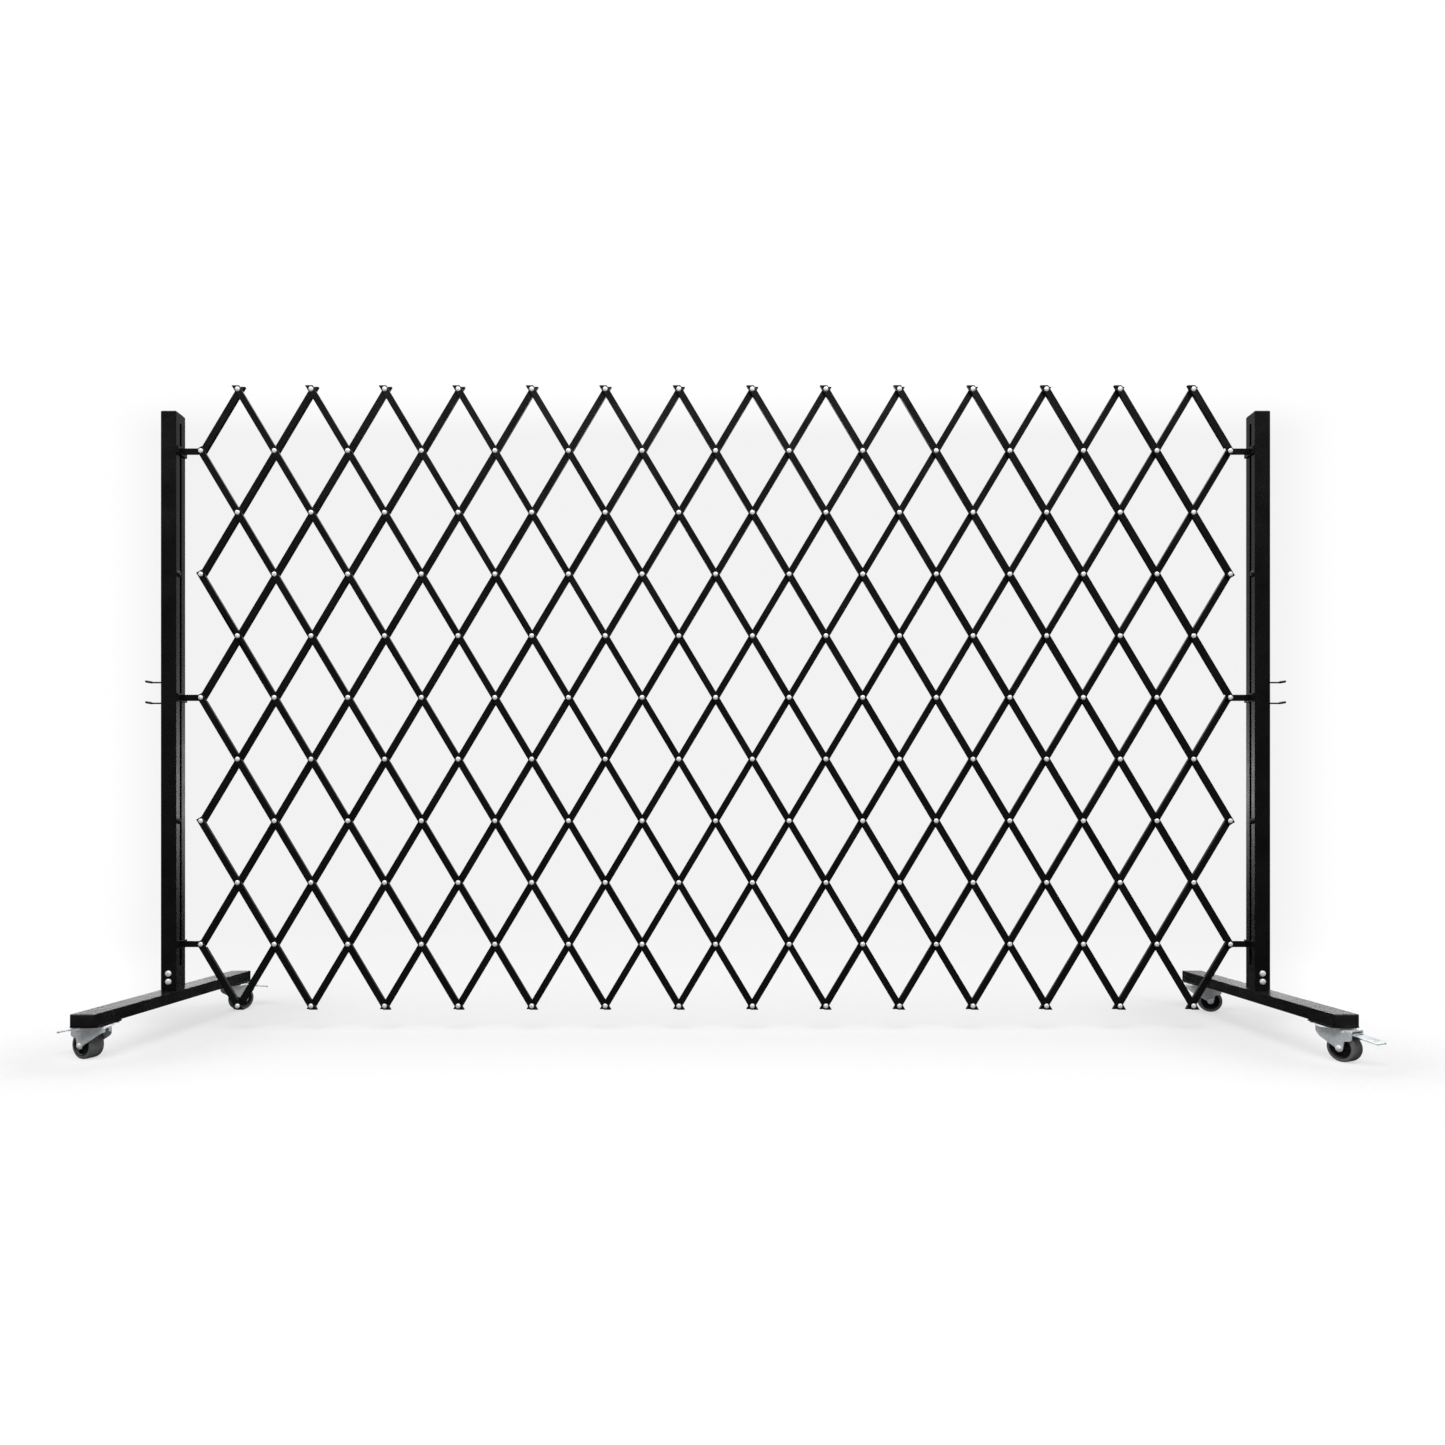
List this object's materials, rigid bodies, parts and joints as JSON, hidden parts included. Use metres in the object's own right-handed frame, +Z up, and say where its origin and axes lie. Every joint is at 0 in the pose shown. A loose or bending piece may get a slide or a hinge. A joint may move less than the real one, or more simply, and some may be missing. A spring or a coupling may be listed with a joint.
{
  "type": "expandable safety barrier",
  "caption": "Expandable safety barrier: riveted scissor lattice of steel channel bars between two slotted posts on feet with braked swivel casters",
  "frame": {"origin": "on the floor midway between the two posts, in the middle plane of the lattice", "axes": "+X along the barrier to the right seen from the front, +Y to the back, +Z up"},
  "size_m": [3.0364, 0.8018, 1.6777],
  "materials": {
    "black_coat": "satin black powder coat on steel",
    "zinc_plate": "bright zinc-plated pressed steel",
    "wheel_rubber": "black moulded wheel with a dark grey tread"
  },
  "bodies": {
    "left_frame": {"left_post": "black_coat", "left_foot": "black_coat", "left_middle_bracket": "black_coat"},
    "right_frame": {"right_post": "black_coat", "right_foot": "black_coat", "right_middle_bracket": "black_coat"},
    "front_bar_03": {"front_bar_03": "black_coat"},
    "rear_bar_03": {"rear_bar_03": "black_coat"},
    "rear_bar_04": {"rear_bar_04": "black_coat"},
    "rear_bar_05": {"rear_bar_05": "black_coat"},
    "rear_bar_06": {"rear_bar_06": "black_coat"},
    "rear_bar_07": {"rear_bar_07": "black_coat"},
    "rear_bar_08": {"rear_bar_08": "black_coat"},
    "front_bar_04": {"front_bar_04": "black_coat"},
    "front_bar_05": {"front_bar_05": "black_coat"},
    "front_bar_06": {"front_bar_06": "black_coat"},
    "front_bar_07": {"front_bar_07": "black_coat"},
    "front_bar_08": {"front_bar_08": "black_coat"},
    "front_bar_02": {"front_bar_02": "black_coat"},
    "front_bar_09": {"front_bar_09": "black_coat"},
    "front_bar_01": {"front_bar_01": "black_coat"},
    "front_bar_10": {"front_bar_10": "black_coat"},
    "front_bar_11": {"front_bar_11": "black_coat"},
    "front_bar_12": {"front_bar_12": "black_coat"},
    "front_bar_13": {"front_bar_13": "black_coat"},
    "rear_bar_02": {"rear_bar_02": "black_coat"},
    "rear_bar_09": {"rear_bar_09": "black_coat"},
    "rear_bar_01": {"rear_bar_01": "black_coat"},
    "rear_bar_10": {"rear_bar_10": "black_coat"},
    "rear_bar_11": {"rear_bar_11": "black_coat"},
    "rear_bar_12": {"rear_bar_12": "black_coat"},
    "rear_bar_13": {"rear_bar_13": "black_coat"},
    "rear_bar_14": {"rear_bar_14": "black_coat"},
    "rear_bar_15": {"rear_bar_15": "black_coat"},
    "rear_bar_16": {"rear_bar_16": "black_coat"},
    "rear_bar_17": {"rear_bar_17": "black_coat"},
    "rear_bar_18": {"rear_bar_18": "black_coat"},
    "front_bar_14": {"front_bar_14": "black_coat"},
    "front_bar_15": {"front_bar_15": "black_coat"},
    "front_bar_16": {"front_bar_16": "black_coat"},
    "front_bar_17": {"front_bar_17": "black_coat"},
    "front_bar_18": {"front_bar_18": "black_coat"},
    "front_bar_19": {"front_bar_19": "black_coat"},
    "rear_bar_19": {"rear_bar_19": "black_coat"},
    "left_top_slide_bracket": {"left_top_slide_bracket": "black_coat"},
    "left_bottom_slide_bracket": {"left_bottom_slide_bracket": "black_coat"},
    "right_top_slide_bracket": {"right_top_slide_bracket": "black_coat"},
    "right_bottom_slide_bracket": {"right_bottom_slide_bracket": "black_coat"},
    "front_left_fork": {"front_left_fork": "zinc_plate"},
    "front_left_wheel": {"front_left_wheel": "wheel_rubber"},
    "front_left_brake_pedal": {"front_left_brake_pedal": "zinc_plate"},
    "rear_left_fork": {"rear_left_fork": "zinc_plate"},
    "rear_left_wheel": {"rear_left_wheel": "wheel_rubber"},
    "rear_left_brake_pedal": {"rear_left_brake_pedal": "zinc_plate"},
    "front_right_fork": {"front_right_fork": "zinc_plate"},
    "front_right_wheel": {"front_right_wheel": "wheel_rubber"},
    "front_right_brake_pedal": {"front_right_brake_pedal": "zinc_plate"},
    "rear_right_fork": {"rear_right_fork": "zinc_plate"},
    "rear_right_wheel": {"rear_right_wheel": "wheel_rubber"},
    "rear_right_brake_pedal": {"rear_right_brake_pedal": "zinc_plate"}
  },
  "joints": [
    {"name": "barrier_fold", "type": "hinge", "parent": "left_frame", "child": "front_bar_03", "pos_m": [-1.33479, 0, 0.86799], "axis": [0, 1, 0], "range_deg": [-14.2, 6.5]},
    {"name": "rear_bar_03_rivet", "type": "hinge", "parent": "front_bar_03", "child": "rear_bar_03", "pos_m": [-1.33479, 0, 0.86799], "axis": [0, 1, 0], "range_deg": [-13, 28.4]},
    {"name": "rear_bar_04_rivet", "type": "hinge", "parent": "front_bar_03", "child": "rear_bar_04", "pos_m": [-1.23945, 0, 0.70805], "axis": [0, 1, 0], "range_deg": [-13, 28.4]},
    {"name": "rear_bar_05_rivet", "type": "hinge", "parent": "front_bar_03", "child": "rear_bar_05", "pos_m": [-1.14411, 0, 0.54812], "axis": [0, 1, 0], "range_deg": [-13, 28.4]},
    {"name": "rear_bar_06_rivet", "type": "hinge", "parent": "front_bar_03", "child": "rear_bar_06", "pos_m": [-1.04877, 0, 0.38818], "axis": [0, 1, 0], "range_deg": [-13, 28.4]},
    {"name": "rear_bar_07_rivet", "type": "hinge", "parent": "front_bar_03", "child": "rear_bar_07", "pos_m": [-0.95342, 0, 0.22824], "axis": [0, 1, 0], "range_deg": [-13, 28.4]},
    {"name": "rear_bar_08_rivet", "type": "hinge", "parent": "front_bar_03", "child": "rear_bar_08", "pos_m": [-0.85808, 0, 0.0683], "axis": [0, 1, 0], "range_deg": [-13, 28.4]},
    {"name": "front_bar_04_rivet", "type": "hinge", "parent": "rear_bar_03", "child": "front_bar_04", "pos_m": [-1.23945, 0, 1.02793], "axis": [0, 1, 0], "range_deg": [-28.4, 13]},
    {"name": "front_bar_05_rivet", "type": "hinge", "parent": "rear_bar_03", "child": "front_bar_05", "pos_m": [-1.14411, 0, 1.18787], "axis": [0, 1, 0], "range_deg": [-28.4, 13]},
    {"name": "front_bar_06_rivet", "type": "hinge", "parent": "rear_bar_03", "child": "front_bar_06", "pos_m": [-1.04877, 0, 1.34781], "axis": [0, 1, 0], "range_deg": [-28.4, 13]},
    {"name": "front_bar_07_rivet", "type": "hinge", "parent": "rear_bar_03", "child": "front_bar_07", "pos_m": [-0.95342, 0, 1.50774], "axis": [0, 1, 0], "range_deg": [-28.4, 13]},
    {"name": "front_bar_08_rivet", "type": "hinge", "parent": "rear_bar_03", "child": "front_bar_08", "pos_m": [-0.85808, 0, 1.66768], "axis": [0, 1, 0], "range_deg": [-28.4, 13]},
    {"name": "front_bar_02_rivet", "type": "hinge", "parent": "rear_bar_04", "child": "front_bar_02", "pos_m": [-1.33479, 0, 0.54812], "axis": [0, 1, 0], "range_deg": [-28.4, 13]},
    {"name": "front_bar_09_rivet", "type": "hinge", "parent": "rear_bar_04", "child": "front_bar_09", "pos_m": [-0.6674, 0, 1.66768], "axis": [0, 1, 0], "range_deg": [-28.4, 13]},
    {"name": "front_bar_01_rivet", "type": "hinge", "parent": "rear_bar_05", "child": "front_bar_01", "pos_m": [-1.33479, 0, 0.22824], "axis": [0, 1, 0], "range_deg": [-28.4, 13]},
    {"name": "front_bar_10_rivet", "type": "hinge", "parent": "rear_bar_05", "child": "front_bar_10", "pos_m": [-0.47671, 0, 1.66768], "axis": [0, 1, 0], "range_deg": [-28.4, 13]},
    {"name": "front_bar_11_rivet", "type": "hinge", "parent": "rear_bar_06", "child": "front_bar_11", "pos_m": [-0.28603, 0, 1.66768], "axis": [0, 1, 0], "range_deg": [-28.4, 13]},
    {"name": "front_bar_12_rivet", "type": "hinge", "parent": "rear_bar_07", "child": "front_bar_12", "pos_m": [-0.09534, 0, 1.66768], "axis": [0, 1, 0], "range_deg": [-28.4, 13]},
    {"name": "front_bar_13_rivet", "type": "hinge", "parent": "rear_bar_08", "child": "front_bar_13", "pos_m": [0.09534, 0, 1.66768], "axis": [0, 1, 0], "range_deg": [-28.4, 13]},
    {"name": "rear_bar_02_rivet", "type": "hinge", "parent": "front_bar_04", "child": "rear_bar_02", "pos_m": [-1.33479, 0, 1.18787], "axis": [0, 1, 0], "range_deg": [-13, 28.4]},
    {"name": "rear_bar_09_rivet", "type": "hinge", "parent": "front_bar_04", "child": "rear_bar_09", "pos_m": [-0.6674, 0, 0.0683], "axis": [0, 1, 0], "range_deg": [-13, 28.4]},
    {"name": "rear_bar_01_rivet", "type": "hinge", "parent": "front_bar_05", "child": "rear_bar_01", "pos_m": [-1.33479, 0, 1.50774], "axis": [0, 1, 0], "range_deg": [-13, 28.4]},
    {"name": "rear_bar_10_rivet", "type": "hinge", "parent": "front_bar_05", "child": "rear_bar_10", "pos_m": [-0.47671, 0, 0.0683], "axis": [0, 1, 0], "range_deg": [-13, 28.4]},
    {"name": "rear_bar_11_rivet", "type": "hinge", "parent": "front_bar_06", "child": "rear_bar_11", "pos_m": [-0.28603, 0, 0.0683], "axis": [0, 1, 0], "range_deg": [-13, 28.4]},
    {"name": "rear_bar_12_rivet", "type": "hinge", "parent": "front_bar_07", "child": "rear_bar_12", "pos_m": [-0.09534, 0, 0.0683], "axis": [0, 1, 0], "range_deg": [-13, 28.4]},
    {"name": "rear_bar_13_rivet", "type": "hinge", "parent": "front_bar_08", "child": "rear_bar_13", "pos_m": [0.09534, 0, 0.0683], "axis": [0, 1, 0], "range_deg": [-13, 28.4]},
    {"name": "rear_bar_14_rivet", "type": "hinge", "parent": "front_bar_09", "child": "rear_bar_14", "pos_m": [0.28603, 0, 0.0683], "axis": [0, 1, 0], "range_deg": [-13, 28.4]},
    {"name": "rear_bar_15_rivet", "type": "hinge", "parent": "front_bar_10", "child": "rear_bar_15", "pos_m": [0.47671, 0, 0.0683], "axis": [0, 1, 0], "range_deg": [-13, 28.4]},
    {"name": "rear_bar_16_rivet", "type": "hinge", "parent": "front_bar_11", "child": "rear_bar_16", "pos_m": [0.6674, 0, 0.0683], "axis": [0, 1, 0], "range_deg": [-13, 28.4]},
    {"name": "rear_bar_17_rivet", "type": "hinge", "parent": "front_bar_12", "child": "rear_bar_17", "pos_m": [0.85808, 0, 0.0683], "axis": [0, 1, 0], "range_deg": [-13, 28.4]},
    {"name": "rear_bar_18_rivet", "type": "hinge", "parent": "front_bar_13", "child": "rear_bar_18", "pos_m": [1.04877, 0, 0.0683], "axis": [0, 1, 0], "range_deg": [-13, 28.4]},
    {"name": "front_bar_14_rivet", "type": "hinge", "parent": "rear_bar_09", "child": "front_bar_14", "pos_m": [0.28603, 0, 1.66768], "axis": [0, 1, 0], "range_deg": [-28.4, 13]},
    {"name": "front_bar_15_rivet", "type": "hinge", "parent": "rear_bar_10", "child": "front_bar_15", "pos_m": [0.47671, 0, 1.66768], "axis": [0, 1, 0], "range_deg": [-28.4, 13]},
    {"name": "front_bar_16_rivet", "type": "hinge", "parent": "rear_bar_11", "child": "front_bar_16", "pos_m": [0.6674, 0, 1.66768], "axis": [0, 1, 0], "range_deg": [-28.4, 13]},
    {"name": "front_bar_17_rivet", "type": "hinge", "parent": "rear_bar_12", "child": "front_bar_17", "pos_m": [0.85808, 0, 1.66768], "axis": [0, 1, 0], "range_deg": [-28.4, 13]},
    {"name": "front_bar_18_rivet", "type": "hinge", "parent": "rear_bar_13", "child": "front_bar_18", "pos_m": [1.04877, 0, 1.66768], "axis": [0, 1, 0], "range_deg": [-28.4, 13]},
    {"name": "front_bar_19_rivet", "type": "hinge", "parent": "rear_bar_14", "child": "front_bar_19", "pos_m": [1.23945, 0, 1.66768], "axis": [0, 1, 0], "range_deg": [-28.4, 13]},
    {"name": "rear_bar_19_rivet", "type": "hinge", "parent": "front_bar_14", "child": "rear_bar_19", "pos_m": [1.23945, 0, 0.0683], "axis": [0, 1, 0], "range_deg": [-13, 28.4]},
    {"name": "right_frame_rivet", "type": "hinge", "parent": "rear_bar_17", "child": "right_frame", "pos_m": [1.33479, 0, 0.86799], "axis": [0, 1, 0], "range_deg": [-14.2, 6.5]},
    {"name": "left_top_slide_bracket_rivet", "type": "hinge", "parent": "front_bar_05", "child": "left_top_slide_bracket", "pos_m": [-1.33479, 0, 1.50774], "axis": [0, 1, 0], "range_deg": [-6.5, 14.2]},
    {"name": "left_bottom_slide_bracket_rivet", "type": "hinge", "parent": "rear_bar_05", "child": "left_bottom_slide_bracket", "pos_m": [-1.33479, 0, 0.22824], "axis": [0, 1, 0], "range_deg": [-14.2, 6.5]},
    {"name": "right_top_slide_bracket_rivet", "type": "hinge", "parent": "rear_bar_15", "child": "right_top_slide_bracket", "pos_m": [1.33479, 0, 1.50774], "axis": [0, 1, 0], "range_deg": [-14.2, 6.5]},
    {"name": "right_bottom_slide_bracket_rivet", "type": "hinge", "parent": "front_bar_15", "child": "right_bottom_slide_bracket", "pos_m": [1.33479, 0, 0.22824], "axis": [0, 1, 0], "range_deg": [-6.5, 14.2]},
    {"name": "front_left_swivel", "type": "hinge", "parent": "left_frame", "child": "front_left_fork", "pos_m": [-1.41079, -0.295, 0.0718], "axis": [0, 0, 1], "continuous": true},
    {"name": "front_left_wheel_spin", "type": "hinge", "parent": "front_left_fork", "child": "front_left_wheel", "pos_m": [-1.43522, -0.28611, 0.032], "axis": [-0.342, -0.9397, 0], "continuous": true},
    {"name": "front_left_brake", "type": "hinge", "parent": "front_left_fork", "child": "front_left_brake_pedal", "pos_m": [-1.44274, -0.28337, 0.0686], "axis": [-0.342, -0.9397, 0], "range_deg": [0, 10]},
    {"name": "rear_left_swivel", "type": "hinge", "parent": "left_frame", "child": "rear_left_fork", "pos_m": [-1.41079, 0.295, 0.0718], "axis": [0, 0, 1], "continuous": true},
    {"name": "rear_left_wheel_spin", "type": "hinge", "parent": "rear_left_fork", "child": "rear_left_wheel", "pos_m": [-1.40022, 0.31875, 0.032], "axis": [-0.9135, 0.4067, 0], "continuous": true},
    {"name": "rear_left_brake", "type": "hinge", "parent": "rear_left_fork", "child": "rear_left_brake_pedal", "pos_m": [-1.39696, 0.32606, 0.0686], "axis": [-0.9135, 0.4067, 0], "range_deg": [0, 10]},
    {"name": "front_right_swivel", "type": "hinge", "parent": "right_frame", "child": "front_right_fork", "pos_m": [1.41079, -0.295, 0.0718], "axis": [0, 0, 1], "continuous": true},
    {"name": "front_right_wheel_spin", "type": "hinge", "parent": "front_right_fork", "child": "front_right_wheel", "pos_m": [1.42137, -0.31875, 0.032], "axis": [0.9135, 0.4067, 0], "continuous": true},
    {"name": "front_right_brake", "type": "hinge", "parent": "front_right_fork", "child": "front_right_brake_pedal", "pos_m": [1.42462, -0.32606, 0.0686], "axis": [0.9135, 0.4067, 0], "range_deg": [0, 10]},
    {"name": "rear_right_swivel", "type": "hinge", "parent": "right_frame", "child": "rear_right_fork", "pos_m": [1.41079, 0.295, 0.0718], "axis": [0, 0, 1], "continuous": true},
    {"name": "rear_right_wheel_spin", "type": "hinge", "parent": "rear_right_fork", "child": "rear_right_wheel", "pos_m": [1.43522, 0.28611, 0.032], "axis": [0.342, 0.9397, 0], "continuous": true},
    {"name": "rear_right_brake", "type": "hinge", "parent": "rear_right_fork", "child": "rear_right_brake_pedal", "pos_m": [1.44274, 0.28337, 0.0686], "axis": [0.342, 0.9397, 0], "range_deg": [0, 10]}
  ],
  "couplings": [
    {"joint": "rear_bar_03_rivet", "follows": "barrier_fold", "ratio": -2},
    {"joint": "rear_bar_04_rivet", "follows": "barrier_fold", "ratio": -2},
    {"joint": "rear_bar_05_rivet", "follows": "barrier_fold", "ratio": -2},
    {"joint": "rear_bar_06_rivet", "follows": "barrier_fold", "ratio": -2},
    {"joint": "rear_bar_07_rivet", "follows": "barrier_fold", "ratio": -2},
    {"joint": "rear_bar_08_rivet", "follows": "barrier_fold", "ratio": -2},
    {"joint": "front_bar_04_rivet", "follows": "barrier_fold", "ratio": 2},
    {"joint": "front_bar_05_rivet", "follows": "barrier_fold", "ratio": 2},
    {"joint": "front_bar_06_rivet", "follows": "barrier_fold", "ratio": 2},
    {"joint": "front_bar_07_rivet", "follows": "barrier_fold", "ratio": 2},
    {"joint": "front_bar_08_rivet", "follows": "barrier_fold", "ratio": 2},
    {"joint": "front_bar_02_rivet", "follows": "barrier_fold", "ratio": 2},
    {"joint": "front_bar_09_rivet", "follows": "barrier_fold", "ratio": 2},
    {"joint": "front_bar_01_rivet", "follows": "barrier_fold", "ratio": 2},
    {"joint": "front_bar_10_rivet", "follows": "barrier_fold", "ratio": 2},
    {"joint": "front_bar_11_rivet", "follows": "barrier_fold", "ratio": 2},
    {"joint": "front_bar_12_rivet", "follows": "barrier_fold", "ratio": 2},
    {"joint": "front_bar_13_rivet", "follows": "barrier_fold", "ratio": 2},
    {"joint": "rear_bar_02_rivet", "follows": "barrier_fold", "ratio": -2},
    {"joint": "rear_bar_09_rivet", "follows": "barrier_fold", "ratio": -2},
    {"joint": "rear_bar_01_rivet", "follows": "barrier_fold", "ratio": -2},
    {"joint": "rear_bar_10_rivet", "follows": "barrier_fold", "ratio": -2},
    {"joint": "rear_bar_11_rivet", "follows": "barrier_fold", "ratio": -2},
    {"joint": "rear_bar_12_rivet", "follows": "barrier_fold", "ratio": -2},
    {"joint": "rear_bar_13_rivet", "follows": "barrier_fold", "ratio": -2},
    {"joint": "rear_bar_14_rivet", "follows": "barrier_fold", "ratio": -2},
    {"joint": "rear_bar_15_rivet", "follows": "barrier_fold", "ratio": -2},
    {"joint": "rear_bar_16_rivet", "follows": "barrier_fold", "ratio": -2},
    {"joint": "rear_bar_17_rivet", "follows": "barrier_fold", "ratio": -2},
    {"joint": "rear_bar_18_rivet", "follows": "barrier_fold", "ratio": -2},
    {"joint": "front_bar_14_rivet", "follows": "barrier_fold", "ratio": 2},
    {"joint": "front_bar_15_rivet", "follows": "barrier_fold", "ratio": 2},
    {"joint": "front_bar_16_rivet", "follows": "barrier_fold", "ratio": 2},
    {"joint": "front_bar_17_rivet", "follows": "barrier_fold", "ratio": 2},
    {"joint": "front_bar_18_rivet", "follows": "barrier_fold", "ratio": 2},
    {"joint": "front_bar_19_rivet", "follows": "barrier_fold", "ratio": 2},
    {"joint": "rear_bar_19_rivet", "follows": "barrier_fold", "ratio": -2},
    {"joint": "right_frame_rivet", "follows": "barrier_fold", "ratio": 1},
    {"joint": "left_top_slide_bracket_rivet", "follows": "barrier_fold", "ratio": -1},
    {"joint": "left_bottom_slide_bracket_rivet", "follows": "barrier_fold", "ratio": 1},
    {"joint": "right_top_slide_bracket_rivet", "follows": "barrier_fold", "ratio": 1},
    {"joint": "right_bottom_slide_bracket_rivet", "follows": "barrier_fold", "ratio": -1}
  ]
}
